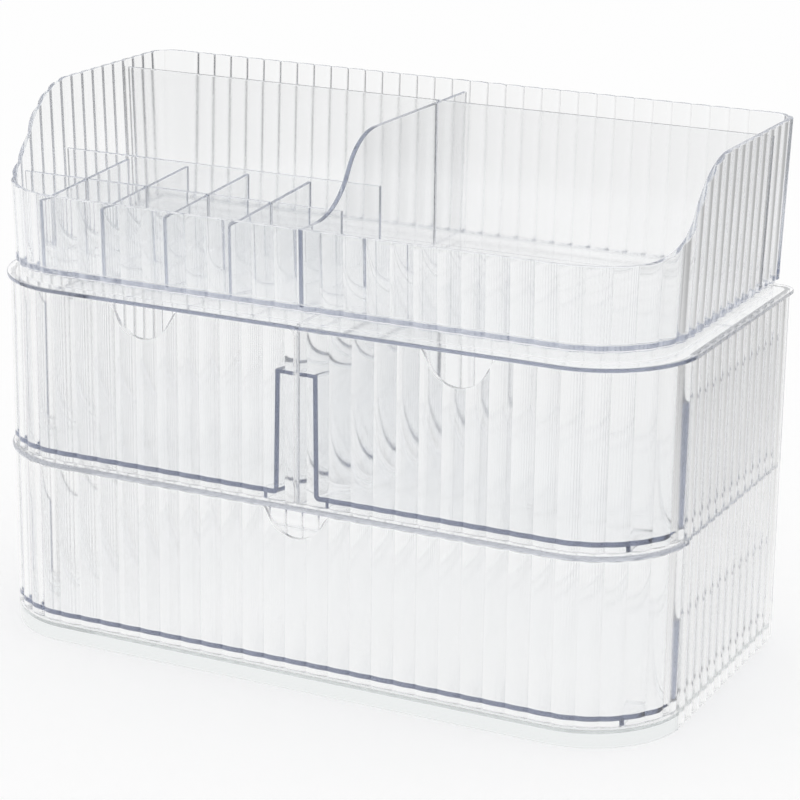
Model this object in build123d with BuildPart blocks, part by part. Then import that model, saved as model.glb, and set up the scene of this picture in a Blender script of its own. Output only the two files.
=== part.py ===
from build123d import *
import os
from math import acos, cos, pi, radians, sin, tan

os.makedirs("parts", exist_ok=True)

# A clear ribbed storage box with three drawers and a lift-off tray. Millimetres.
# The origin is on the ground under the middle of the box, +X to the right, +Y to the back, +Z up.

# Case, measured over the crests of the upright ribs
body_width = 280.0
body_depth = 140.0
wall = 2.2
rib_depth = 1.0
front_radius = 38.0
rear_radius = 6.0
front_wrap = 34.2
front_rib_pitch = 9.03
side_rib_pitch = 7.65
rear_rib_pitch = 7.8
rear_corner_ribs = 1

# Plates of the case and the free heights between them
skirt_height = 7.4
base_thickness = 2.0
lower_bay = 64.0
shelf_thickness = 2.0
upper_bay = 67.2
deck_thickness = 1.4
deck_overhang = 1.2
deck_top_radius = 0.3
deck_foot_radius = 0.2
shelf_nose = 1.0
shelf_nose_radius = 0.95
partition_thickness = 1.6

# Drawers
foot_gap = 0.6
head_gap = 0.4
wrap_gap = 0.5
partition_gap = 0.3
front_gap = 0.5
front_edge_radius = 2.5
notch_radius = 12.0
notch_slant = 61.0
notch_lip_radius = 3.0
upper_notch_centre = 64.5
upper_notch_depth = 12.5
lower_notch_depth = 10.5
tub_wall = 1.8
tub_floor = 2.0
tub_corner = 0.4
tub_wrap_lap = 0.1
tub_lean = 0.6
tub_side_gap = 0.5
tub_back_gap = 4.8
upper_tub_height = 48.0
lower_tub_height = 32.3
flange_width = 5.6
flange_thickness = 1.5
runner_width = 1.6
runner_height = 2.5
runner_gap = 0.3
runner_inset = 5.2
outer_runner_inset = 10.3

# Tray, measured over its ribs at the underside of its floor
tray_side_step = 3.0
tray_front_step = 1.2
tray_rear_step = 3.5
tray_front_radius = 36.0
tray_rear_radius = 8.0
tray_front_rib_pitch = 9.27
tray_corner_turn = 45.0
tray_rear_reach = 119.5
tray_draft = 0.033
tray_gap = 0.3
foot_height = 4.3
foot_inset = 2.0
foot_thickness = 2.0
tray_floor = 2.0
front_rim_height = 30.7
rear_rim_height = 61.9

# The curve that climbs from the low front rim to the high back: two arcs that meet on a steep slope
sweep_start = 11.3
sweep_slope = 60.0
sweep_lower_radius = 29.0

# Walls inside the tray. Heights are from the underside of its floor, places from the tray's front.
tall_divider_x = 1.6
tall_divider_thickness = 1.8
tall_divider_height = 57.6
rear_partition_y = 109.1
rear_partition_thickness = 1.8
rear_partition_height = 58.8
cell_wall = 1.6
back_wall_y = 61.8
back_wall_height = 34.1
cross_wall_y = 31.1
cross_wall_height = 30.9
first_divider_step = 29.4
divider_step = 26.8
divider_count = 4
divider_front_height = 28.3
divider_rear_height = 32.7

# Places that follow from the sizes above
half_width = body_width / 2
front_y = -body_depth / 2
rear_y = body_depth / 2
inner_x = half_width - wall
inner_rear_y = rear_y - wall
wrap_y = front_y + front_wrap
side_front_y = wrap_y + wrap_gap
side_rear_y = rear_y - rear_radius
base_z = skirt_height - base_thickness
shelf_z = skirt_height + lower_bay
shelf_top = shelf_z + shelf_thickness
deck_z = shelf_top + upper_bay
deck_top = deck_z + deck_thickness
front_inner_radius = front_radius - wall
flat_half = half_width - front_radius
partition_face = partition_thickness / 2
tray_z = deck_top + tray_gap + foot_height
tray_half = half_width - tray_side_step
tray_front = front_y + tray_front_step
tray_rear = rear_y - tray_rear_step
front_rim_z = tray_z + front_rim_height
rear_rim_z = tray_z + rear_rim_height
tray_floor_top = tray_z + tray_floor
overshoot = 5.0


# The ribs: each is one convex arc from valley to valley.
# A point a given way along a rounded front, measured from its middle, and set in from the crest line
def front_point(way, inset, half, front, radius):
    side = 1 if way >= 0 else -1
    flat = half - radius
    bend = (abs(way) - flat) / radius
    if bend <= 0:
        return (way, front + inset)
    if bend <= pi / 2:
        x = flat + (radius - inset) * sin(bend)
        y = front + radius - (radius - inset) * cos(bend)
        return (side * x, y)
    return (side * (half - inset), front + radius + radius * (bend - pi / 2))


def front_ribs(reach, count, half, front, radius):
    step = 2 * reach / count
    for i in range(count):
        start = -reach + i * step
        ThreePointArc(
            front_point(start, rib_depth, half, front, radius),
            front_point(start + step / 2, 0, half, front, radius),
            front_point(start + step, rib_depth, half, front, radius),
        )


# Ribs along a straight crest line, with the outside on the right of the way it is drawn
def straight_ribs(start, end, count):
    along = (Vector(*end) - Vector(*start)) / count
    outward = Vector(along.Y, -along.X).normalized()
    for i in range(count):
        first = Vector(*start) + along * i
        ThreePointArc(
            first - outward * rib_depth,
            first + along * 0.5,
            first + along - outward * rib_depth,
        )


# Ribs round a corner, drawn anticlockwise between two angles in degrees
def corner_ribs(centre, radius, start, end, count):
    step = radians(end - start) / count
    for i in range(count):
        angle = radians(start) + i * step
        points = []
        for turn, reach in ((0, radius - rib_depth), (0.5, radius), (1, radius - rib_depth)):
            heading = angle + turn * step
            points.append((centre[0] + reach * cos(heading), centre[1] + reach * sin(heading)))
        ThreePointArc(*points)


def rib_count(length, pitch):
    return max(2, round(length / pitch))


# A block given by its low and high corners, cut from or added to the part being built
def block(low, high, mode=Mode.ADD):
    middle = [(a + b) / 2 for a, b in zip(low, high)]
    size = [b - a for a, b in zip(low, high)]
    with Locations(tuple(middle)):
        Box(*size, mode=mode)


def write(builder, name):
    builder.part.label = name
    export_step(builder.part, f"parts/{name}.step")


# Case: the two ribbed side walls
side_count = rib_count(side_rear_y - side_front_y, side_rib_pitch)
for side, name in ((-1, "left_side_wall"), (1, "right_side_wall")):
    with BuildPart() as side_wall:
        with BuildSketch():
            with BuildLine():
                straight_ribs((half_width, side_front_y), (half_width, side_rear_y), side_count)
                Polyline(
                    (half_width - rib_depth, side_rear_y),
                    (inner_x, side_rear_y),
                    (inner_x, side_front_y),
                    (half_width - rib_depth, side_front_y),
                )
            make_face()
            if side < 0:
                mirror(about=Plane.YZ, mode=Mode.REPLACE)
        extrude(amount=deck_z)
    write(side_wall, name)

# Case: the rear wall, with a short rounded return at each end that meets the side walls
rear_flat = half_width - rear_radius
rear_count = rib_count(2 * rear_flat, rear_rib_pitch)
with BuildPart() as rear_wall:
    with BuildSketch():
        with BuildLine():
            Line((inner_x, side_rear_y), (half_width - rib_depth, side_rear_y))
            corner_ribs((rear_flat, side_rear_y), rear_radius, 0, 90, rear_corner_ribs)
            straight_ribs((rear_flat, rear_y), (-rear_flat, rear_y), rear_count)
            corner_ribs((-rear_flat, side_rear_y), rear_radius, 90, 180, rear_corner_ribs)
            Line((rib_depth - half_width, side_rear_y), (-inner_x, side_rear_y))
            inner_corner = rear_radius - wall
            RadiusArc((-inner_x, side_rear_y), (-rear_flat, inner_rear_y), inner_corner)
            Line((-rear_flat, inner_rear_y), (rear_flat, inner_rear_y))
            RadiusArc((rear_flat, inner_rear_y), (inner_x, side_rear_y), inner_corner)
        make_face()
    extrude(amount=deck_z)
write(rear_wall, "rear_wall")


# A flat plate with rounded corners, as a sketch seen from above
def rounded_plate(half, front, rear, front_r, rear_r):
    with BuildSketch() as plate:
        with BuildLine():
            Polyline((-half, front), (half, front), (half, rear), (-half, rear), close=True)
        make_face()
        if front_r > 0:
            fillet(plate.vertices().group_by(Axis.Y)[0], front_r)
        if rear_r > 0:
            fillet(plate.vertices().group_by(Axis.Y)[-1], rear_r)
    return plate.sketch


# The smooth inside of the case, which every plate between its walls fills
def case_inside(front):
    return rounded_plate(inner_x, front, inner_rear_y, 0, rear_radius - wall)


# Case: the flat deck that the tray stands on, with a rounded edge that stands proud all round
with BuildPart() as top_deck:
    with BuildSketch(Plane.XY.offset(deck_z)):
        add(rounded_plate(
            half_width + deck_overhang,
            front_y - deck_overhang,
            rear_y + deck_overhang,
            front_radius + deck_overhang,
            rear_radius + deck_overhang,
        ))
    extrude(amount=deck_thickness)
    level_edges = top_deck.edges().filter_by(Axis.Z, reverse=True)
    fillet(level_edges.group_by(Axis.Z)[-1], deck_top_radius)
    level_edges = top_deck.edges().filter_by(Axis.Z, reverse=True)
    fillet(level_edges.group_by(Axis.Z)[0], deck_foot_radius)
write(top_deck, "top_deck")

# Case: the middle shelf, with a rounded nose across the front and round both corners
with BuildPart() as mid_shelf:
    with BuildSketch(Plane.XY.offset(shelf_z)):
        add(rounded_plate(
            half_width + shelf_nose,
            front_y - shelf_nose,
            rear_y,
            front_radius + shelf_nose,
            0,
        ))
        with Locations((0, side_front_y + body_depth / 2)):
            Rectangle(2 * body_width, body_depth, mode=Mode.SUBTRACT)
    extrude(amount=shelf_thickness)
    level_edges = mid_shelf.edges().filter_by(Axis.Z, reverse=True)
    nose_edges = level_edges.filter_by(lambda e: e.center().Y < side_front_y - rib_depth)
    fillet(nose_edges, shelf_nose_radius)
    with BuildSketch(Plane.XY.offset(shelf_z)):
        add(case_inside(side_front_y))
    extrude(amount=shelf_thickness)
write(mid_shelf, "mid_shelf")

# Case: the base plate, with a smooth skirt under the wide drawer
with BuildPart() as base_plate:
    with BuildSketch():
        add(rounded_plate(half_width, front_y, rear_y, front_radius, 0))
        add(rounded_plate(inner_x, front_y + wall, rear_y, front_inner_radius, 0), mode=Mode.SUBTRACT)
        with Locations((0, side_front_y + body_depth / 2)):
            Rectangle(2 * body_width, body_depth, mode=Mode.SUBTRACT)
    extrude(amount=skirt_height)
    with BuildSketch(Plane.XY.offset(base_z)):
        add(rounded_plate(
            inner_x, front_y + wall, inner_rear_y, front_inner_radius, rear_radius - wall,
        ))
    extrude(amount=base_thickness)
write(base_plate, "base_plate")

# Case: the partition between the two small drawers, which ends just behind their fronts
with BuildPart() as centre_partition:
    with BuildSketch(Plane.XY.offset(shelf_top)):
        partition_front = front_y + wall + partition_gap
        partition_middle = (partition_front + inner_rear_y) / 2
        with Locations((0, partition_middle)):
            Rectangle(partition_thickness, inner_rear_y - partition_front)
    extrude(amount=upper_bay)
write(centre_partition, "centre_partition")

# Drawer fronts: ribs laid at equal steps along the whole wide front, one of them in the middle
front_reach = flat_half + front_radius * acos((front_radius - front_wrap) / front_radius)
front_pairs = int(front_reach / front_rib_pitch)
front_count = 2 * front_pairs + 1
bend_middle = (flat_half + front_reach) / 2


# A point on the smooth inner face of a drawer front
def inner_point(way):
    return front_point(way, wall, half_width, front_y, front_radius)


# The finger notch in a front's top edge, seen from the front: a round floor and slanted sides
def notch(centre, depth, top):
    slant = radians(notch_slant)
    floor_half = notch_radius * sin(slant)
    side_height = depth - notch_radius * (1 - cos(slant))
    mouth_half = floor_half + side_height / tan(slant)
    with BuildSketch() as cut:
        with BuildLine():
            ThreePointArc(
                (centre - floor_half, top - side_height),
                (centre, top - depth),
                (centre + floor_half, top - side_height),
            )
            Polyline(
                (centre + floor_half, top - side_height),
                (centre + mouth_half, top),
                (centre + mouth_half, top + overshoot),
                (centre - mouth_half, top + overshoot),
                (centre - mouth_half, top),
                (centre - floor_half, top - side_height),
            )
        make_face()
    return cut.sketch


# The two corners that a notch leaves in the top edge
def notch_lips(sketch, centre, top):
    level = sketch.vertices().filter_by(lambda v: abs(v.Y - top) < rib_depth)
    return level.filter_by(lambda v: abs(v.X - centre) < 2 * notch_radius)


# One drawer front: the wide ribbed strip, cut to the outline it has as seen from the front
def drawer_front(outline, bottom, top):
    with BuildPart() as front:
        with BuildSketch(Plane.XY.offset(bottom)):
            with BuildLine():
                front_ribs(front_reach, front_count, half_width, front_y, front_radius)
                for side in (-1, 1):
                    Line(
                        front_point(side * front_reach, rib_depth, half_width, front_y, front_radius),
                        inner_point(side * front_reach),
                    )
                    ThreePointArc(
                        inner_point(side * front_reach),
                        inner_point(side * bend_middle),
                        inner_point(side * flat_half),
                    )
                Line(inner_point(-flat_half), inner_point(flat_half))
            make_face()
        extrude(amount=top - bottom)
        with BuildSketch(Plane.XZ.offset(-side_front_y)):
            add(outline)
        extrude(amount=body_depth, mode=Mode.INTERSECT)
    return front


upper_bottom = shelf_top + foot_gap
upper_top = deck_z - head_gap
lower_bottom = skirt_height + foot_gap
lower_top = shelf_z - head_gap
front_edge_x = front_gap / 2
for side, name in ((-1, "left_drawer_front"), (1, "right_drawer_front")):
    with BuildSketch() as elevation:
        with BuildLine():
            Polyline(
                (front_edge_x, upper_bottom),
                (body_width, upper_bottom),
                (body_width, upper_top),
                (front_edge_x, upper_top),
                close=True,
            )
        make_face()
        corner = elevation.vertices().group_by(Axis.X)[0].sort_by(Axis.Y)[-1]
        fillet(corner, front_edge_radius)
        add(notch(upper_notch_centre, upper_notch_depth, upper_top), mode=Mode.SUBTRACT)
        fillet(notch_lips(elevation, upper_notch_centre, upper_top), notch_lip_radius)
        if side < 0:
            mirror(about=Plane.YZ, mode=Mode.REPLACE)
    write(drawer_front(elevation.sketch, upper_bottom, upper_top), name)

with BuildSketch() as elevation:
    with Locations((0, (lower_bottom + lower_top) / 2)):
        Rectangle(2 * body_width, lower_top - lower_bottom)
    add(notch(0, lower_notch_depth, lower_top), mode=Mode.SUBTRACT)
    fillet(notch_lips(elevation, 0, lower_top), notch_lip_radius)
write(drawer_front(elevation.sketch, lower_bottom, lower_top), "lower_drawer_front")

# Drawer tubs: a floor, two leaning side walls and a back, closed at the front by the drawer front
tub_rear_y = inner_rear_y - tub_back_gap
tub_outer_x = inner_x - tub_side_gap


# The tub's outside, or its inside when set in by a wall, as seen from the front
def tub_section(left, right, floor_z, rim_z, inset, corner):
    with BuildSketch() as section:
        with BuildLine():
            Polyline(
                (left + inset, rim_z),
                (left + tub_lean + inset, floor_z),
                (right - tub_lean - inset, floor_z),
                (right - inset, rim_z),
                close=True,
            )
        make_face()
        fillet(section.vertices().group_by(Axis.Y)[0], corner)
    return section.sketch


def drawer_tub(left, right, bay_floor, height, runners, flange):
    floor_z = bay_floor + runner_gap + runner_height
    rim_z = floor_z + height
    length = tub_rear_y - front_y
    with BuildPart() as tub:
        with BuildSketch(Plane.XZ.offset(-tub_rear_y)):
            add(tub_section(left, right, floor_z, rim_z, 0, tub_corner + tub_wall))
            for x in runners:
                with Locations((x, floor_z - runner_height / 2 + tub_floor / 2)):
                    Rectangle(runner_width, runner_height + tub_floor)
            for edge, reach in flange:
                with Locations(((edge + reach) / 2, rim_z - flange_thickness / 2)):
                    Rectangle(abs(reach - edge), flange_thickness)
        extrude(amount=length)
        with BuildSketch(Plane.XZ.offset(tub_wall - tub_rear_y)):
            add(tub_section(left, right, floor_z + tub_floor, rim_z, tub_wall, tub_corner))
        extrude(amount=length, mode=Mode.SUBTRACT)
        with BuildSketch():
            add(rounded_plate(inner_x, front_y + wall, rear_y, front_inner_radius, 0))
        extrude(amount=deck_top, mode=Mode.INTERSECT)
        # a wall beside the case ends square, a little way inside the wrap of the front
        for edge in (left, right):
            if abs(edge) == tub_outer_x:
                side = edge / tub_outer_x
                inside = tub_outer_x - tub_lean - tub_wall - tub_corner
                across = sorted((side * inside, side * half_width))
                block(
                    (across[0], front_y, floor_z + tub_floor),
                    (across[1], wrap_y - tub_wrap_lap, rim_z),
                    Mode.SUBTRACT,
                )
    return tub


tub_inner_x = partition_face + tub_side_gap + flange_width
inner_runner = tub_inner_x + tub_lean + runner_inset
outer_runner = tub_outer_x - tub_lean - outer_runner_inset
flange_edge = partition_face + tub_side_gap
for side, name in ((-1, "left_drawer_tub"), (1, "right_drawer_tub")):
    ends = sorted((side * tub_inner_x, side * tub_outer_x))
    write(
        drawer_tub(
            ends[0],
            ends[1],
            shelf_top,
            upper_tub_height,
            (side * inner_runner, side * outer_runner),
            ((side * flange_edge, side * (tub_inner_x + tub_wall / 2)),),
        ),
        name,
    )
write(
    drawer_tub(
        -tub_outer_x, tub_outer_x, skirt_height, lower_tub_height, (-outer_runner, outer_runner), (),
    ),
    "lower_drawer_tub",
)

# Tray: every level of it is the floor's outline, grown by the draft of its walls
tray_front_reach = tray_half - tray_front_radius + tray_front_radius * pi / 2
tray_front_count = rib_count(2 * tray_front_reach, tray_front_rib_pitch)
tray_side_length = tray_rear - tray_rear_radius - tray_front - tray_front_radius
tray_side_count = rib_count(tray_side_length, side_rib_pitch)
tray_rear_count = rib_count(2 * tray_rear_reach, rear_rib_pitch)


def growth(z):
    return tray_draft * (z - tray_z)


# A rear corner of the tray: one rib of the usual size, then a wide one that ends on the rear wall
def tray_corner(side, half, rear, radius):
    def place(degrees, inset):
        angle = radians(degrees)
        x = half - radius + (radius - inset) * cos(angle)
        return (side * x, rear - radius + (radius - inset) * sin(angle))

    turn = tray_corner_turn
    half_rib = tray_rear_reach / tray_rear_count
    slope_x = side * (tray_rear_reach + half_rib)
    ThreePointArc(place(0, rib_depth), place(turn / 2, 0), place(turn, rib_depth))
    ThreePointArc(place(turn, rib_depth), place(1.25 * turn, rib_depth / 4), place(1.5 * turn, 0))
    ThreePointArc(place(1.5 * turn, 0), place((1.5 * turn + 90) / 2, 0), place(90, 0))
    Line(place(90, 0), (slope_x, rear))
    ThreePointArc(
        (slope_x, rear),
        (slope_x - side * half_rib / 2, rear - rib_depth / 4),
        (slope_x - side * half_rib, rear - rib_depth),
    )


def tray_ribs(z):
    grown = growth(z)
    half = tray_half + grown
    front = tray_front - grown
    rear = tray_rear + grown
    front_r = tray_front_radius + grown
    rear_r = tray_rear_radius + grown
    corner_y = rear - rear_r
    reach = half - front_r + front_r * pi / 2
    front_ribs(reach, tray_front_count, half, front, front_r)
    straight_ribs((half, front + front_r), (half, corner_y), tray_side_count)
    tray_corner(1, half, rear, rear_r)
    straight_ribs((tray_rear_reach, rear), (-tray_rear_reach, rear), tray_rear_count)
    tray_corner(-1, half, rear, rear_r)
    straight_ribs((-half, corner_y), (-half, front + front_r), tray_side_count)


def tray_inside(z):
    inset = wall - growth(z)
    return rounded_plate(
        tray_half - inset,
        tray_front + inset,
        tray_rear - inset,
        tray_front_radius - inset,
        tray_rear_radius - inset,
    )


# The climbing rim line, seen from the right side: a hollow arc, then a round one
def rim_line(low, high):
    lean = radians(sweep_slope)
    upper_radius = (high - low) / (1 - cos(lean)) - sweep_lower_radius
    start = tray_front + sweep_start
    joint = start + sweep_lower_radius * sin(lean)
    end = joint + upper_radius * sin(lean)
    joint_z = low + sweep_lower_radius * (1 - cos(lean))
    ThreePointArc(
        (start, low),
        (start + sweep_lower_radius * sin(lean / 2), low + sweep_lower_radius * (1 - cos(lean / 2))),
        (joint, joint_z),
    )
    ThreePointArc(
        (joint, joint_z),
        (end - upper_radius * sin(lean / 2), high - upper_radius * (1 - cos(lean / 2))),
        (end, high),
    )
    return start, end


with BuildPart() as tray_shell:
    for z in (tray_z, rear_rim_z):
        with BuildSketch(Plane.XY.offset(z)):
            with BuildLine():
                tray_ribs(z)
            make_face()
    loft(ruled=True)
    for z in (tray_floor_top, rear_rim_z + overshoot):
        with BuildSketch(Plane.XY.offset(z)):
            add(tray_inside(z))
    loft(ruled=True, mode=Mode.SUBTRACT)
    with BuildSketch(Plane.YZ.offset(-body_width)):
        with BuildLine():
            start, end = rim_line(front_rim_z, rear_rim_z)
            Polyline(
                (end, rear_rim_z),
                (end, rear_rim_z + overshoot),
                (front_y - overshoot, rear_rim_z + overshoot),
                (front_y - overshoot, front_rim_z),
                (start, front_rim_z),
            )
        make_face()
    extrude(amount=2 * body_width, mode=Mode.SUBTRACT)
    with BuildSketch(Plane.XY.offset(deck_top + tray_gap)):
        for inset, mode in ((foot_inset, Mode.ADD), (foot_inset + foot_thickness, Mode.SUBTRACT)):
            ring = rounded_plate(
                tray_half - inset,
                tray_front + inset,
                tray_rear - inset,
                tray_front_radius - inset,
                tray_rear_radius - inset,
            )
            add(ring, mode=mode)
    extrude(amount=foot_height)
write(tray_shell, "tray_shell")

# Tray: the walls inside it stand on its floor and end against its smooth inside
cross_wall_top = tray_z + cross_wall_height
cross_lap_z = (tray_floor_top + cross_wall_top) / 2
rear_lap_z = (tray_floor_top + tray_z + tall_divider_height) / 2
rear_partition_middle = tray_front + rear_partition_y
back_wall_middle = tray_front + back_wall_y
cross_wall_middle = tray_front + cross_wall_y
divider_places = [
    tall_divider_x - first_divider_step - i * divider_step for i in range(divider_count)
]


with BuildPart() as tall_divider:
    with BuildSketch(Plane.YZ.offset(tall_divider_x - tall_divider_thickness / 2)):
        with BuildLine():
            start, end = rim_line(front_rim_z, tray_z + tall_divider_height)
            Polyline(
                (end, tray_z + tall_divider_height),
                (rear_y, tray_z + tall_divider_height),
                (rear_y, tray_floor_top),
                (front_y, tray_floor_top),
                (front_y, front_rim_z),
                (start, front_rim_z),
            )
        make_face()
    extrude(amount=tall_divider_thickness)
    block(
        (-half_width, rear_partition_middle - rear_partition_thickness / 2, rear_lap_z),
        (half_width, rear_partition_middle + rear_partition_thickness / 2, rear_rim_z),
        Mode.SUBTRACT,
    )
    for z in (tray_floor_top, rear_rim_z):
        with BuildSketch(Plane.XY.offset(z)):
            add(tray_inside(z))
    loft(ruled=True, mode=Mode.INTERSECT)
write(tall_divider, "tall_divider")

with BuildPart() as rear_partition:
    block(
        (-half_width, rear_partition_middle - rear_partition_thickness / 2, tray_floor_top),
        (
            half_width,
            rear_partition_middle + rear_partition_thickness / 2,
            tray_z + rear_partition_height,
        ),
    )
    block(
        (tall_divider_x - tall_divider_thickness / 2, tray_front, tray_floor_top),
        (tall_divider_x + tall_divider_thickness / 2, tray_rear, rear_lap_z),
        Mode.SUBTRACT,
    )
    for z in (tray_floor_top, rear_rim_z):
        with BuildSketch(Plane.XY.offset(z)):
            add(tray_inside(z))
    loft(ruled=True, mode=Mode.INTERSECT)
write(rear_partition, "rear_partition")

cell_side_x = tall_divider_x - tall_divider_thickness / 2
with BuildPart() as lipstick_back_wall:
    block(
        (-half_width, back_wall_middle - cell_wall / 2, tray_floor_top),
        (cell_side_x, back_wall_middle + cell_wall / 2, tray_z + back_wall_height),
    )
    for z in (tray_floor_top, rear_rim_z):
        with BuildSketch(Plane.XY.offset(z)):
            add(tray_inside(z))
    loft(ruled=True, mode=Mode.INTERSECT)
write(lipstick_back_wall, "lipstick_back_wall")

with BuildPart() as lipstick_cross_wall:
    block(
        (-half_width, cross_wall_middle - cell_wall / 2, tray_floor_top),
        (cell_side_x, cross_wall_middle + cell_wall / 2, cross_wall_top),
    )
    for x in divider_places:
        block(
            (x - cell_wall / 2, tray_front, cross_lap_z),
            (x + cell_wall / 2, tray_rear, rear_rim_z),
            Mode.SUBTRACT,
        )
    for z in (tray_floor_top, rear_rim_z):
        with BuildSketch(Plane.XY.offset(z)):
            add(tray_inside(z))
    loft(ruled=True, mode=Mode.INTERSECT)
write(lipstick_cross_wall, "lipstick_cross_wall")

divider_rear = back_wall_middle - cell_wall / 2
for number, x in enumerate(reversed(divider_places), start=1):
    with BuildPart() as divider:
        with BuildSketch(Plane.YZ.offset(x - cell_wall / 2)):
            with BuildLine():
                Polyline(
                    (tray_front, tray_floor_top),
                    (divider_rear, tray_floor_top),
                    (divider_rear, tray_z + divider_rear_height),
                    (tray_front, tray_z + divider_front_height),
                    close=True,
                )
            make_face()
        extrude(amount=cell_wall)
        block(
            (-half_width, cross_wall_middle - cell_wall / 2, tray_floor_top),
            (half_width, cross_wall_middle + cell_wall / 2, cross_lap_z),
            Mode.SUBTRACT,
        )
        for z in (tray_floor_top, rear_rim_z):
            with BuildSketch(Plane.XY.offset(z)):
                add(tray_inside(z))
        loft(ruled=True, mode=Mode.INTERSECT)
    write(divider, f"lipstick_divider_{number}")
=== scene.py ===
from math import acos, cos, pi, radians, sin, sqrt, tan

import bmesh
import bpy
from mathutils import Matrix, Vector


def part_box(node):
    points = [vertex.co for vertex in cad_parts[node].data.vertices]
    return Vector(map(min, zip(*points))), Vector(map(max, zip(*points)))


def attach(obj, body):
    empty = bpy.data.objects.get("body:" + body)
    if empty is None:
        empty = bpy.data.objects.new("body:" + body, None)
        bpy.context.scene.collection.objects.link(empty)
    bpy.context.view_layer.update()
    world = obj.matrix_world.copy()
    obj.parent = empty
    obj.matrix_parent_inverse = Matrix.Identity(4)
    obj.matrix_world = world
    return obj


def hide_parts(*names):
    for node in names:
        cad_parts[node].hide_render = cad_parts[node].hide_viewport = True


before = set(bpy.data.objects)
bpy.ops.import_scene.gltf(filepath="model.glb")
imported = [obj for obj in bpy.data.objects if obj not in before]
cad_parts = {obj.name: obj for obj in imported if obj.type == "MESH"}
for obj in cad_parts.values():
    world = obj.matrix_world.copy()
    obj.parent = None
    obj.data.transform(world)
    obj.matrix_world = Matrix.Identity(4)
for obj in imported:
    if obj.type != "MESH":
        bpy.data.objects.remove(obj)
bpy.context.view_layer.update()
mm = 0.001

print("frame loaded:", len(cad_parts), "nodes")


# how the pieces are drawn: the ribs all over the box, and how finely they are cut
ribs = {
    "depth": 1.0 * mm,
    "wall": 2.2 * mm,
    "steps": 10,  # columns to each rib
    "edgeRound": 0.25 * mm,  # small rounding of every moulded edge
    "edgeAngle": radians(55),  # an edge this sharp is rounded
    "smoothAngle": radians(14),  # and one this sharp stays crisp
    "clearance": 0.03 * mm,  # air left beside a piece that isn't moulded on
    "weld": 0.3 * mm,  # how far a moulded or welded edge runs into its neighbour
}

# how near counts as the same
near = {
    "vertex": 0.001 * mm,
    "nodeVertex": 0.002 * mm,  # in the CAD's own meshes
    "place": 0.05 * mm,
    "flat": radians(0.5),
    "sameWay": 0.98,  # normals, by their dot product
    "facing": 0.95,
    "upright": 0.5,
}


# one column of a wall: a place on the crest line, the way out, and how deep the rib is there
def column(x, y, outX, outY, across, pitch):
    depth = ribs["depth"]
    radius = (pitch * pitch / 4 + depth * depth) / (2 * depth)
    offset = (across - 0.5) * pitch
    dip = radius - sqrt(radius * radius - offset * offset)
    return {"x": x, "y": y, "outX": outX, "outY": outY, "dip": dip}


# a rounded front, ribs at equal steps from one end of it to the other, left to right
def frontRun(half, front, radius, reach, count):
    flat = half - radius
    pitch = 2 * reach / count
    columns = []
    for i in range(count * ribs["steps"] + 1):
        way = -reach + i * pitch / ribs["steps"]
        side = 1 if way >= 0 else -1
        bend = min(max((abs(way) - flat) / radius, 0), pi / 2)
        past = max((abs(way) - flat) - radius * pi / 2, 0)
        x = way if abs(way) <= flat else side * (flat + radius * sin(bend))
        y = front + radius - radius * cos(bend) + past
        across = (i % ribs["steps"]) / ribs["steps"]
        columns.append(column(x, y, side * sin(bend), -cos(bend), across, pitch))
    return columns


def straightRun(start, end, count):
    along = Vector((end[0] - start[0], end[1] - start[1]))
    out = Vector((along.y, -along.x)).normalized()
    pitch = along.length / count
    columns = []
    for i in range(count * ribs["steps"] + 1):
        place = Vector(start) + along * (i / (count * ribs["steps"]))
        across = (i % ribs["steps"]) / ribs["steps"]
        columns.append(column(place.x, place.y, out.x, out.y, across, pitch))
    return columns


def cornerRun(centre, radius, fromAngle, toAngle, count):
    pitch = abs(radians(toAngle - fromAngle)) * radius / count
    columns = []
    for i in range(count * ribs["steps"] + 1):
        angle = radians(fromAngle + (toAngle - fromAngle) * i / (count * ribs["steps"]))
        x = centre[0] + radius * cos(angle)
        y = centre[1] + radius * sin(angle)
        across = (i % ribs["steps"]) / ribs["steps"]
        columns.append(column(x, y, cos(angle), sin(angle), across, pitch))
    return columns


# joins runs end to end: the last column of one is the first of the next
def joinRuns(*runs):
    columns = list(runs[0])
    for run in runs[1:]:
        columns.extend(run[1:])
    return columns


# where a ring passes a column: set in from the crest line, ribbed or smooth, at its height
def ringPoint(place, ring):
    inset = ring["inset"] + (place["dip"] if ring.get("ribbed") else 0)
    x = place["x"] - place["outX"] * inset
    y = place["y"] - place["outY"] * inset
    z = ring["z"](x, y) if callable(ring["z"]) else ring["z"]
    lean = ring.get("draft", 0) * (z - ring.get("draftFrom", 0))
    return Vector((x + place["outX"] * lean, y + place["outY"] * lean, z))


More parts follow.
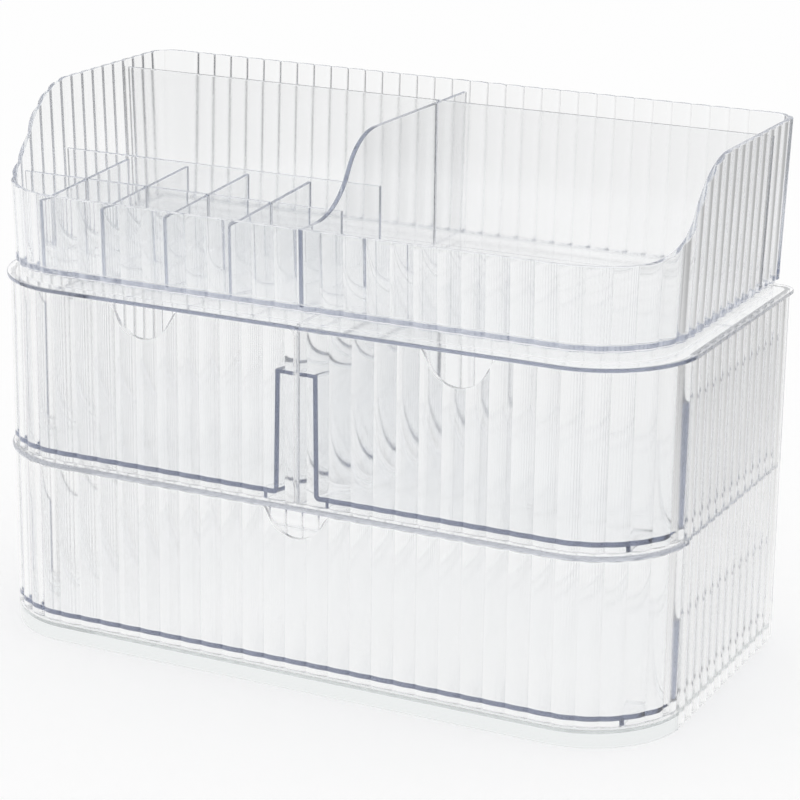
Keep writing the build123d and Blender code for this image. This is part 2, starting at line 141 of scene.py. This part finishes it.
# turns a bmesh into a piece: rounds its sharp edges but not those marked as seams, and sets
# what it rides on and replaces
def finishPiece(bm, name, body, nodes, finish, edgeRound=None):
    bmesh.ops.remove_doubles(bm, verts=bm.verts, dist=near["vertex"])
    bmesh.ops.recalc_face_normals(bm, faces=bm.faces)
    size = ribs["edgeRound"] if edgeRound is None else edgeRound
    if size > 0:
        crisp = [
            e for e in bm.edges
            if len(e.link_faces) == 2 and not e.seam and e.calc_face_angle(0) > ribs["edgeAngle"]
        ]
        bmesh.ops.bevel(
            bm, geom=crisp, offset=size, segments=2, profile=0.5,
            affect="EDGES", clamp_overlap=True, material=-1,
        )
        bmesh.ops.recalc_face_normals(bm, faces=bm.faces)
    mesh = bpy.data.meshes.new(name)
    bm.to_mesh(mesh)
    bm.free()
    for face in mesh.polygons:
        face.use_smooth = True
    mesh.set_sharp_from_angle(angle=ribs["smoothAngle"])
    piece = bpy.data.objects.new(name, mesh)
    bpy.context.scene.collection.objects.link(piece)
    mesh.materials.append(materials[finish])
    # keeps flat faces flat beside small rounds
    evenShade = piece.modifiers.new("evenShade", "WEIGHTED_NORMAL")
    evenShade.mode = "FACE_AREA"
    evenShade.weight = 50
    evenShade.keep_sharp = True
    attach(piece, body)
    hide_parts(*nodes)
    return piece


# a sheet lofted through rings, one vertex for each column; its open edges are filled in
def loftInto(bm, columns, rings, closedRings=False):
    columnCount = len(columns) - 1
    ringCount = len(rings) if closedRings else len(rings) - 1
    made = bmesh.ops.create_grid(bm, x_segments=columnCount, y_segments=ringCount, size=1)
    for v in made["verts"]:
        i = round((v.co.x + 1) / 2 * columnCount)
        j = round((v.co.y + 1) / 2 * ringCount)
        v.co = ringPoint(columns[i], rings[j % len(rings)])
    bmesh.ops.remove_doubles(bm, verts=made["verts"], dist=near["vertex"])
    rim = [e for e in bm.edges if e.is_boundary]
    bmesh.ops.holes_fill(bm, edges=rim, sides=0)


# clear plastic: gloss with a faint unevenness from the mould, and colour that shows in long paths
plastic = {
    "ior": 1.49,
    "tint": (0.9965, 0.9985, 0.9982, 1.0),  # what one face lets through
    "baseTint": (0.96, 0.963, 0.963, 1.0),
    "skirtTint": (0.86, 0.88, 0.88, 1.0),
    "shade": (0.988, 0.988, 0.988, 1.0),  # what one face lets through to the floor
    "absorb": (0.0, 0.08, 0.3, 1.0),
    "waveScale": 60.0,
    "waveDetail": 1.0,
    "waveHeight": 0.02 * mm,
    "cloudScale": 22.0,
    "cloudDetail": 3.0,
    "cloudSpan": (0.35, 0.65),  # the noise values that give the clearest and the dullest
}


# density is how much colour a metre takes, haze the roughness from its clearest to its dullest
def clearPlastic(name, density, haze, tint=plastic["tint"]):
    material = bpy.data.materials.new(name)
    material.use_nodes = True
    tree = material.node_tree
    tree.nodes.clear()
    output = tree.nodes.new("ShaderNodeOutputMaterial")
    shader = tree.nodes.new("ShaderNodeBsdfPrincipled")
    shader.inputs["Base Color"].default_value = tint
    shader.inputs["IOR"].default_value = plastic["ior"]
    shader.inputs["Transmission Weight"].default_value = 1.0
    volume = tree.nodes.new("ShaderNodeVolumeAbsorption")
    volume.inputs["Color"].default_value = plastic["absorb"]
    volume.inputs["Density"].default_value = density
    coordinates = tree.nodes.new("ShaderNodeTexCoord")
    wave = tree.nodes.new("ShaderNodeTexNoise")
    wave.inputs["Scale"].default_value = plastic["waveScale"]
    wave.inputs["Detail"].default_value = plastic["waveDetail"]
    bump = tree.nodes.new("ShaderNodeBump")
    bump.inputs["Strength"].default_value = 1.0
    bump.inputs["Distance"].default_value = plastic["waveHeight"]
    cloud = tree.nodes.new("ShaderNodeTexNoise")
    cloud.inputs["Scale"].default_value = plastic["cloudScale"]
    cloud.inputs["Detail"].default_value = plastic["cloudDetail"]
    gloss = tree.nodes.new("ShaderNodeMapRange")
    gloss.inputs["From Min"].default_value = plastic["cloudSpan"][0]
    gloss.inputs["From Max"].default_value = plastic["cloudSpan"][1]
    gloss.inputs["To Min"].default_value = haze[0]
    gloss.inputs["To Max"].default_value = haze[1]
    passing = tree.nodes.new("ShaderNodeBsdfTransparent")
    passing.inputs["Color"].default_value = plastic["shade"]
    rayKind = tree.nodes.new("ShaderNodeLightPath")
    toFloor = tree.nodes.new("ShaderNodeMath")
    toFloor.operation = "MAXIMUM"
    mix = tree.nodes.new("ShaderNodeMixShader")
    tree.links.new(coordinates.outputs["Object"], wave.inputs["Vector"])
    tree.links.new(wave.outputs["Fac"], bump.inputs["Height"])
    tree.links.new(bump.outputs["Normal"], shader.inputs["Normal"])
    tree.links.new(coordinates.outputs["Object"], cloud.inputs["Vector"])
    tree.links.new(cloud.outputs["Fac"], gloss.inputs["Value"])
    tree.links.new(gloss.outputs["Result"], shader.inputs["Roughness"])
    tree.links.new(rayKind.outputs["Is Shadow Ray"], toFloor.inputs[0])
    tree.links.new(rayKind.outputs["Is Diffuse Ray"], toFloor.inputs[1])
    tree.links.new(toFloor.outputs["Value"], mix.inputs["Fac"])
    tree.links.new(shader.outputs["BSDF"], mix.inputs[1])
    tree.links.new(passing.outputs["BSDF"], mix.inputs[2])
    tree.links.new(mix.outputs["Shader"], output.inputs["Surface"])
    tree.links.new(volume.outputs["Volume"], output.inputs["Volume"])
    return material


materials = {
    "wall": clearPlastic("clearWall", 1, (0.11, 0.15)),
    "deck": clearPlastic("clearDeck", 6, (0.02, 0.05)),
    "shelf": clearPlastic("clearShelf", 2, (0.02, 0.05)),
    # these two share one piece, so neither takes colour along the way
    "base": clearPlastic("clearBase", 0, (0.03, 0.06), plastic["baseTint"]),
    "skirt": clearPlastic("clearSkirt", 0, (0.05, 0.08), plastic["skirtTint"]),
    "partition": clearPlastic("clearPartition", 1, (0.02, 0.05)),
    "drawerFront": clearPlastic("clearDrawerFront", 1, (0.08, 0.11)),
    "tub": clearPlastic("clearTub", 11, (0.04, 0.06)),
    "trayShell": clearPlastic("clearTrayShell", 4, (0.02, 0.05)),
    "divider": clearPlastic("clearDivider", 9, (0.01, 0.03)),
    "rearPartition": clearPlastic("clearRearPartition", 6, (0.1, 0.15)),
}

# case: the sizes that its corners, ribs and plates are drawn from
case = {
    "body": "case",
    "half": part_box("right_side_wall")[1].x,
    "front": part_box("lower_drawer_front")[0].y,
    "rear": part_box("rear_wall")[1].y,
    "top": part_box("rear_wall")[1].z,
    "sideFront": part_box("right_side_wall")[0].y,
    "frontRadius": 38 * mm,
    "rearRadius": 6 * mm,
    "wrap": 34.2 * mm,
    "sideRibs": 13,
    "rearRibs": 34,
    "frontRibs": 35,
    "baseThickness": 2.0 * mm,
    "deckRounds": (0.2 * mm, 0.3 * mm),  # under and over
    "noseRounds": (0.95 * mm, 0.95 * mm),
    "roundSteps": 12,
}
innerX = case["half"] - ribs["wall"]


# a smooth closed outline, for plates and skirts
def smoothOutline(half, front, rear, frontRadius, rearRadius):
    frontX = half - frontRadius
    frontY = front + frontRadius
    rearX = half - rearRadius
    rearY = rear - rearRadius
    return joinRuns(
        straightRun((-frontX, front), (frontX, front), 1),
        cornerRun((frontX, frontY), frontRadius, -90, 0, 4),
        straightRun((half, frontY), (half, rearY), 1),
        cornerRun((rearX, rearY), rearRadius, 0, 90, 1),
        straightRun((rearX, rear), (-rearX, rear), 1),
        cornerRun((-rearX, rearY), rearRadius, 90, 180, 1),
        straightRun((-half, rearY), (-half, frontY), 1),
        cornerRun((-frontX, frontY), frontRadius, 180, 270, 4),
    )


# the rings of a plate with a rounded edge, from its underside round to its top
def plateRings(low, high, rounds):
    rings = []
    for centre, radius, fromAngle in (
        (low + rounds[0], rounds[0], -90),
        (high - rounds[1], rounds[1], 0),
    ):
        for i in range(case["roundSteps"] + 1):
            angle = radians(fromAngle + 90 * i / case["roundSteps"])
            rings.append({"inset": radius - radius * cos(angle), "z": centre + radius * sin(angle)})
    return rings


def makeCaseWalls():
    half = case["half"]
    rearX = half - case["rearRadius"]
    rearY = case["rear"] - case["rearRadius"]
    columns = joinRuns(
        straightRun((half, case["sideFront"]), (half, rearY), case["sideRibs"]),
        cornerRun((rearX, rearY), case["rearRadius"], 0, 90, 1),
        straightRun((rearX, case["rear"]), (-rearX, case["rear"]), case["rearRibs"]),
        cornerRun((-rearX, rearY), case["rearRadius"], 90, 180, 1),
        straightRun((-half, rearY), (-half, case["sideFront"]), case["sideRibs"]),
    )
    top = case["top"] + ribs["weld"]
    rings = [
        {"inset": 0, "ribbed": True, "z": 0},
        {"inset": 0, "ribbed": True, "z": top},
        {"inset": ribs["wall"], "z": top},
        {"inset": ribs["wall"], "z": 0},
    ]
    bm = bmesh.new()
    loftInto(bm, columns, rings, closedRings=True)
    nodes = ("left_side_wall", "right_side_wall", "rear_wall")
    finishPiece(bm, "caseWalls", case["body"], nodes, "wall")


def makeDeck():
    low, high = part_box("top_deck")
    over = high.x - case["half"]
    columns = smoothOutline(
        high.x, low.y, high.y, case["frontRadius"] + over, case["rearRadius"] + over,
    )
    bm = bmesh.new()
    loftInto(bm, columns, plateRings(low.z, high.z, case["deckRounds"]))
    finishPiece(bm, "topDeck", case["body"], ("top_deck",), "deck", edgeRound=0)


# a plate that stands proud round the front and fits between the walls behind them
def steppedOutline(over, inner):
    half = case["half"] + over
    front = case["front"] - over
    radius = case["frontRadius"] + over
    bend = acos((front + radius - case["sideFront"]) / radius)
    reach = half - radius + radius * bend
    nose = frontRun(half, front, radius, reach, case["frontRibs"])
    for place, side in ((nose[0], -1), (nose[-1], 1)):
        place["outX"] = side
        place["outY"] = 1
    step = {"x": inner, "y": case["sideFront"], "outX": 1, "outY": 1, "dip": 0}
    mirrored = {"x": -inner, "y": case["sideFront"], "outX": -1, "outY": 1, "dip": 0}
    rear = case["rear"] - ribs["wall"] + ribs["weld"]
    radius = case["rearRadius"] - ribs["wall"] + ribs["weld"]
    rearX = inner - radius
    rearY = rear - radius
    back = joinRuns(
        cornerRun((rearX, rearY), radius, 0, 90, 1),
        straightRun((rearX, rear), (-rearX, rear), 1),
        cornerRun((-rearX, rearY), radius, 90, 180, 1),
    )
    return nose + [step] + back + [mirrored, nose[0]]


def makeShelf():
    low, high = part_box("mid_shelf")
    over = case["front"] - low.y
    columns = steppedOutline(over, innerX + ribs["weld"])
    bm = bmesh.new()
    loftInto(bm, columns, plateRings(low.z, high.z, case["noseRounds"]))
    finishPiece(bm, "midShelf", case["body"], ("mid_shelf",), "shelf", edgeRound=0)


def makeBase():
    low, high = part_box("base_plate")
    half = case["half"]
    bend = acos((case["front"] + case["frontRadius"] - case["sideFront"]) / case["frontRadius"])
    reach = half - case["frontRadius"] + case["frontRadius"] * bend
    columns = frontRun(half, case["front"], case["frontRadius"], reach, case["frontRibs"])
    rings = [
        {"inset": 0, "z": low.z},
        {"inset": 0, "z": high.z},
        {"inset": ribs["wall"], "z": high.z},
        {"inset": ribs["wall"], "z": low.z},
    ]
    bm = bmesh.new()
    loftInto(bm, columns, rings, closedRings=True)
    inset = ribs["wall"] - ribs["weld"]
    columns = smoothOutline(
        half - inset, case["front"] + inset, case["rear"] - inset,
        case["frontRadius"] - inset, case["rearRadius"] - inset,
    )
    underside = high.z - case["baseThickness"]
    loftInto(bm, columns, [{"inset": 0, "z": underside}, {"inset": 0, "z": high.z}])
    piece = finishPiece(bm, "basePlate", case["body"], ("base_plate",), "base")
    piece.data.materials.append(materials["skirt"])
    for face in piece.data.polygons:
        if abs(face.normal.z) < near["upright"]:
            face.material_index = 1


# a node whose own shape is right: its welded faces are run on into their neighbours with their
# edges left square, and the others are drawn in by the clearance
def dressNode(node, name, body, finish, isWelded):
    bm = bmesh.new()
    bm.from_mesh(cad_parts[node].data)
    bmesh.ops.remove_doubles(bm, verts=bm.verts, dist=near["nodeVertex"])
    bmesh.ops.dissolve_limit(bm, angle_limit=near["flat"], verts=bm.verts, edges=bm.edges)
    bm.normal_update()
    shifts = {}
    for v in bm.verts:
        shift = Vector()
        ways = []
        for face in v.link_faces:
            if any(face.normal.dot(way) > near["sameWay"] for way in ways):
                continue
            ways.append(face.normal.copy())
            wanted = ribs["weld"] if isWelded(face) else -ribs["clearance"]
            shift += face.normal * (wanted - shift.dot(face.normal))
        shifts[v] = shift
    for face in bm.faces:
        if isWelded(face):
            for e in face.edges:
                e.seam = True
    for v, shift in shifts.items():
        v.co += shift
    finishPiece(bm, name, body, (node,), finish)


# a standing wall is welded at both ends of its length, and underneath if it stands on the floor
def weldedAlong(axis, isUnder):
    def isWelded(face):
        if isUnder and face.normal.z < -near["facing"]:
            return True
        return abs(face.normal[axis]) > near["facing"]

    return isWelded


# the partition is welded to everything but the drawer fronts
def weldedPartition(face):
    return abs(face.normal.z) > near["facing"] or face.normal.y > near["facing"]


# a tub is welded to its front, all along the front's smooth inner face
def weldedTub(face):
    if abs(face.normal.z) > near["upright"]:
        return False
    depths = [frontDepth(v.co.x, v.co.y) for v in face.verts]
    return all(abs(depth - ribs["wall"]) < near["place"] for depth in depths)


# how far behind the crest line of the drawer fronts a place is
def frontDepth(x, y):
    acrossBend = abs(x) - (case["half"] - case["frontRadius"])
    beforeBend = case["front"] + case["frontRadius"] - y
    if acrossBend <= 0:
        return y - case["front"]
    if beforeBend <= 0:
        return min(y - case["front"], case["half"] - abs(x))
    return case["frontRadius"] - sqrt(acrossBend ** 2 + beforeBend ** 2)


makeCaseWalls()
makeDeck()
makeShelf()
makeBase()
dressNode(
    "centre_partition", "centrePartition", "case", "partition", weldedPartition,
)
print("case made")

# drawers: ribbed fronts that wrap round the corners, with a finger notch in the top edge
drawers = {
    "notchRadius": 12 * mm,
    "notchSlant": radians(61),
    "lipRadius": 3 * mm,
    "notchCentre": 64.5 * mm,
    "upperDepth": 12.5 * mm,
    "lowerDepth": 10.5 * mm,
    "edgeRadius": 2.5 * mm,
}


# how far the top edge is cut down at a place along the front
def notchDepth(x, centre, depth):
    slant = drawers["notchSlant"]
    radius = drawers["notchRadius"]
    lip = drawers["lipRadius"]
    floorHalf = radius * sin(slant)
    sideHeight = depth - radius * (1 - cos(slant))
    mouthHalf = floorHalf + sideHeight / tan(slant)
    lipReach = lip * tan(slant / 2)
    away = abs(x - centre)
    if away >= mouthHalf + lipReach:
        return 0
    if away > mouthHalf - lipReach * cos(slant):
        across = mouthHalf + lipReach - away
        return lip - sqrt(lip * lip - across * across)
    if away > floorHalf:
        return (mouthHalf - away) * tan(slant)
    return depth - radius + sqrt(radius * radius - away * away)


def frontReach():
    bend = acos((case["frontRadius"] - case["wrap"]) / case["frontRadius"])
    return case["half"] - case["frontRadius"] + case["frontRadius"] * bend


def makeFront(node, name, body, side):
    low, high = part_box(node)
    reach = frontReach()
    pitch = 2 * reach / case["frontRibs"]
    columns = frontRun(case["half"], case["front"], case["frontRadius"], reach, case["frontRibs"])
    centre = side * drawers["notchCentre"]
    depth = drawers["upperDepth"] if side else drawers["lowerDepth"]
    edge = low.x if side > 0 else high.x
    if side:
        columns = [place for place in columns if (place["x"] - edge) * side > near["place"]]
        first = column(edge, case["front"], 0, -1, 0.5 + edge / pitch, pitch)
        columns = [first] + columns if side > 0 else columns + [first]

    def topEdge(x, y):
        z = high.z - notchDepth(x, centre, depth)
        into = drawers["edgeRadius"] - abs(x - edge)
        if side and into > 0:
            z -= drawers["edgeRadius"] - sqrt(drawers["edgeRadius"] ** 2 - into * into)
        return z

    rings = [
        {"inset": 0, "ribbed": True, "z": low.z},
        {"inset": 0, "ribbed": True, "z": topEdge},
        {"inset": ribs["wall"], "z": topEdge},
        {"inset": ribs["wall"], "z": low.z},
    ]
    bm = bmesh.new()
    loftInto(bm, columns, rings, closedRings=True)
    finishPiece(bm, name, body, (node,), "drawerFront")


for word, side in (("left", -1), ("right", 1), ("lower", 0)):
    body = word + "_drawer"
    makeFront(body + "_front", word + "DrawerFront", body, side)
    dressNode(body + "_tub", word + "DrawerTub", body, "tub", weldedTub)
print("drawers made")

# tray: one moulded shell with a rim that climbs from front to back, and the walls that divide it
shellLow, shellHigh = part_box("tray_shell")
tray = {
    "body": "tray",
    "footHeight": 4.3 * mm,
    "footInset": 2.0 * mm,
    "footThickness": 2.0 * mm,
    "floor": 2.0 * mm,
    "floorFillet": 1.2 * mm,
    "filletShape": ((0.6, 0.08), (0.29, 0.29), (0.08, 0.6)),  # shares of it, inward and up
    "draft": 0.033,
    "sideStep": 3.0 * mm,
    "frontStep": 1.2 * mm,
    "rearStep": 3.5 * mm,
    "frontRadius": 36 * mm,
    "rearRadius": 8 * mm,
    "frontRim": 30.7 * mm,
    "sweepStart": 11.3 * mm,
    "sweepSlope": radians(60),
    "sweepRadius": 29 * mm,
    "frontRibs": 34,
    "sideRibs": 12,
    "cornerTurn": 45,
    "rearRibs": 31,
    "rearReach": 119.5 * mm,
}


# the rim's height at a place from front to back: a hollow arc, then a round one
def rimHeight(y, low, high):
    slope = tray["sweepSlope"]
    lower = tray["sweepRadius"]
    upper = (high - low) / (1 - cos(slope)) - lower
    start = case["front"] + tray["frontStep"] + tray["sweepStart"]
    joint = start + lower * sin(slope)
    end = joint + upper * sin(slope)
    if y <= start:
        return low
    if y < joint:
        return low + lower - sqrt(lower * lower - (y - start) ** 2)
    if y < end:
        return high - upper + sqrt(upper * upper - (end - y) ** 2)
    return high


# half a rib from its valley to its crest, then smooth, or the other way round
def rearCorner(rearX, rearY, radius, side):
    turn = tray["cornerTurn"]
    pitch = radians(turn) * radius
    columns = []
    for i in range(ribs["steps"] + 1):
        angle = radians(turn + (90 - turn) * i / ribs["steps"])
        across = min(i / ribs["steps"], 0.5)
        x = side * (rearX + radius * cos(angle))
        y = rearY + radius * sin(angle)
        columns.append(column(x, y, side * cos(angle), sin(angle), across, pitch))
    reach = tray["rearReach"]
    ribPitch = 2 * reach / tray["rearRibs"]
    halfSteps = ribs["steps"] // 2
    for i in range(halfSteps + 1):
        across = 0.5 * (1 + i / halfSteps)
        x = side * (reach + ribPitch * (1 - across))
        columns.append(column(x, rearY + radius, 0, 1, across, ribPitch))
    return columns if side > 0 else columns[::-1]


def makeTrayShell():
    half = case["half"] - tray["sideStep"]
    front = case["front"] + tray["frontStep"]
    rear = case["rear"] - tray["rearStep"]
    floorLow = shellLow.z + tray["footHeight"]
    floorTop = floorLow + tray["floor"]
    frontRim = floorLow + tray["frontRim"]
    frontRadius = tray["frontRadius"]
    rearX = half - tray["rearRadius"]
    rearY = rear - tray["rearRadius"]
    reach = half - frontRadius + frontRadius * pi / 2
    radius = tray["rearRadius"]
    turn = tray["cornerTurn"]
    ribsEnd = tray["rearReach"]
    columns = joinRuns(
        frontRun(half, front, frontRadius, reach, tray["frontRibs"]),
        straightRun((half, front + frontRadius), (half, rearY), tray["sideRibs"]),
        cornerRun((rearX, rearY), radius, 0, turn, 1),
        rearCorner(rearX, rearY, radius, 1),
        straightRun((ribsEnd, rear), (-ribsEnd, rear), tray["rearRibs"]),
        rearCorner(rearX, rearY, radius, -1),
        cornerRun((-rearX, rearY), radius, 180 - turn, 180, 1),
        straightRun((-half, rearY), (-half, front + frontRadius), tray["sideRibs"]),
    )

    def rim(x, y):
        return rimHeight(y, frontRim, shellHigh.z)

    wall = ribs["wall"]
    fillet = tray["floorFillet"]
    lean = {"draft": tray["draft"], "draftFrom": floorLow}
    foot = tray["footInset"]
    footInner = foot + tray["footThickness"]
    rings = [{"inset": wall + fillet, "z": floorTop}]
    for inward, upward in tray["filletShape"]:
        rings.append({"inset": wall + inward * fillet, "z": floorTop + upward * fillet, **lean})
    rings += [
        {"inset": wall, "z": floorTop + fillet, **lean},
        {"inset": wall, "z": rim, **lean},
        {"inset": 0, "ribbed": True, "z": rim, **lean},
        {"inset": 0, "ribbed": True, "z": floorLow},
        {"inset": foot, "z": floorLow},
        {"inset": foot, "z": shellLow.z},
        {"inset": footInner, "z": shellLow.z},
        {"inset": footInner, "z": floorLow},
    ]
    bm = bmesh.new()
    loftInto(bm, columns, rings)
    # the foot's underside stays square
    for e in bm.edges:
        e.seam = max(v.co.z for v in e.verts) < shellLow.z + near["place"]
    finishPiece(bm, "trayShell", tray["body"], ("tray_shell",), "trayShell")


makeTrayShell()
# node, piece, the axis of its length, whether it stands on the floor, and its plastic
trayWalls = [
    ("tall_divider", "tallDivider", 1, True, "divider"),
    ("rear_partition", "rearPartition", 0, True, "rearPartition"),
    ("lipstick_back_wall", "lipstickBackWall", 0, False, "divider"),
    ("lipstick_cross_wall", "lipstickCrossWall", 0, False, "divider"),
]
for number in range(1, 5):
    node = f"lipstick_divider_{number}"
    trayWalls.append((node, f"lipstickDivider{number}", 1, True, "divider"))
for node, name, axis, isUnder, finish in trayWalls:
    dressNode(node, name, "tray", finish, weldedAlong(axis, isUnder))
print("tray made")


# camera, at the photograph's viewing angle
view = {
    "place": (0.4634, -0.9194, 0.4133),
    "turn": radians(-26.375),  # away from looking straight along +Y
    "down": radians(17.489),
    "roll": radians(0.733),
    "lens": 126.02,
    "sensor": 36,
    "clipEnd": 50,
    "shiftX": 0.0012,
    "shiftY": 0.0191,
}
forward = Vector((
    sin(view["turn"]) * cos(view["down"]),
    cos(view["turn"]) * cos(view["down"]),
    -sin(view["down"]),
))
level = Vector((cos(view["turn"]), -sin(view["turn"]), 0))
upward = level.cross(forward)
right = level * cos(view["roll"]) + upward * sin(view["roll"])
up = upward * cos(view["roll"]) - level * sin(view["roll"])
cameraData = bpy.data.cameras.new("camera")
cameraData.lens = view["lens"]
cameraData.sensor_width = view["sensor"]
cameraData.shift_x = view["shiftX"]
cameraData.shift_y = view["shiftY"]
cameraData.clip_end = view["clipEnd"]
camera = bpy.data.objects.new("camera", cameraData)
axes = Matrix((right, up, -forward)).transposed().to_4x4()
camera.matrix_world = Matrix.Translation(view["place"]) @ axes
bpy.context.scene.collection.objects.link(camera)
bpy.context.scene.camera = camera

# stage: a plain pale floor, which the plastic shows as a glow with painted shade: a little greyer,
# and darker to the front and to the right
stage = {
    "floorSize": 8.0,
    "floorColour": (0.99, 0.99, 0.99, 1),
    "floorRoughness": 0.9,
    "glowWithPaintedShade": 0.98,  # how bright the plastic shows the floor beside the box, a little under white as painted shade
    "paintedShadeFades": (  # painted shade: how that glow falls off along the floor, to the least share of it
        {"axis": "Y", "start": -0.15, "end": -0.75, "least": 0.37},
        {"axis": "X", "start": 0.1, "end": 0.34, "least": 0.72},
        {"axis": "X", "start": 0.3, "end": 0.48, "least": 0.65},
    ),
}
bm = bmesh.new()
bmesh.ops.create_grid(bm, x_segments=1, y_segments=1, size=stage["floorSize"] / 2)
floorMesh = bpy.data.meshes.new("floor")
bm.to_mesh(floorMesh)
bm.free()
floor = bpy.data.objects.new("floor", floorMesh)
bpy.context.scene.collection.objects.link(floor)
floorMaterial = bpy.data.materials.new("paleFloor")
floorMaterial.use_nodes = True
floorTree = floorMaterial.node_tree
floorShader = floorTree.nodes["Principled BSDF"]
floorShader.inputs["Base Color"].default_value = stage["floorColour"]
floorShader.inputs["Roughness"].default_value = stage["floorRoughness"]
floorShader.inputs["Specular IOR Level"].default_value = 0.0
floorPlace = floorTree.nodes.new("ShaderNodeTexCoord")
floorAxes = floorTree.nodes.new("ShaderNodeSeparateXYZ")
# painted light and shade: glossy and transmission rays see the floor as this glow, a little under
# white and dimmer to the front and to the right
glowWithPaintedShade = floorTree.nodes.new("ShaderNodeEmission")
strength = None
for side in stage["paintedShadeFades"]:
    fade = floorTree.nodes.new("ShaderNodeMapRange")
    fade.interpolation_type = "SMOOTHSTEP"
    fade.inputs["From Min"].default_value = side["start"]
    fade.inputs["From Max"].default_value = side["end"]
    fade.inputs["To Min"].default_value = 1.0
    fade.inputs["To Max"].default_value = side["least"]
    product = floorTree.nodes.new("ShaderNodeMath")
    product.operation = "MULTIPLY"
    product.inputs[1].default_value = stage["glowWithPaintedShade"]
    floorTree.links.new(floorAxes.outputs[side["axis"]], fade.inputs["Value"])
    floorTree.links.new(fade.outputs["Result"], product.inputs[0])
    if strength:
        floorTree.links.new(strength, product.inputs[1])
    strength = product.outputs["Value"]
# only reflected and refracted rays get the glow with its painted shade; camera rays see the plain
# floor and its real shadow
rayKind = floorTree.nodes.new("ShaderNodeLightPath")
bent = floorTree.nodes.new("ShaderNodeMath")
bent.operation = "MAXIMUM"
floorMix = floorTree.nodes.new("ShaderNodeMixShader")
floorTree.links.new(floorPlace.outputs["Object"], floorAxes.inputs["Vector"])
floorTree.links.new(strength, glowWithPaintedShade.inputs["Strength"])
floorTree.links.new(rayKind.outputs["Is Glossy Ray"], bent.inputs[0])
floorTree.links.new(rayKind.outputs["Is Transmission Ray"], bent.inputs[1])
floorTree.links.new(bent.outputs["Value"], floorMix.inputs["Fac"])
floorTree.links.new(floorShader.outputs["BSDF"], floorMix.inputs[1])
floorTree.links.new(glowWithPaintedShade.outputs["Emission"], floorMix.inputs[2])
floorOutput = floorTree.nodes["Material Output"]
floorTree.links.new(floorMix.outputs["Shader"], floorOutput.inputs["Surface"])
floorMesh.materials.append(floorMaterial)

# world: an even white studio all round
world = bpy.data.worlds.new("studio")
bpy.context.scene.world = world
world.use_nodes = True
studioLight = world.node_tree.nodes["Background"]
studioLight.inputs["Color"].default_value = (1, 1, 1, 1)
studioLight.inputs["Strength"].default_value = 1.0

scene = bpy.context.scene
scene.view_settings.view_transform = "Standard"
scene.cycles.caustics_refractive = False  # the plastic lets shadow rays through instead
scene.cycles.max_bounces = 200
scene.cycles.glossy_bounces = 200
scene.cycles.transmission_bounces = 200
scene.cycles.transparent_max_bounces = 48
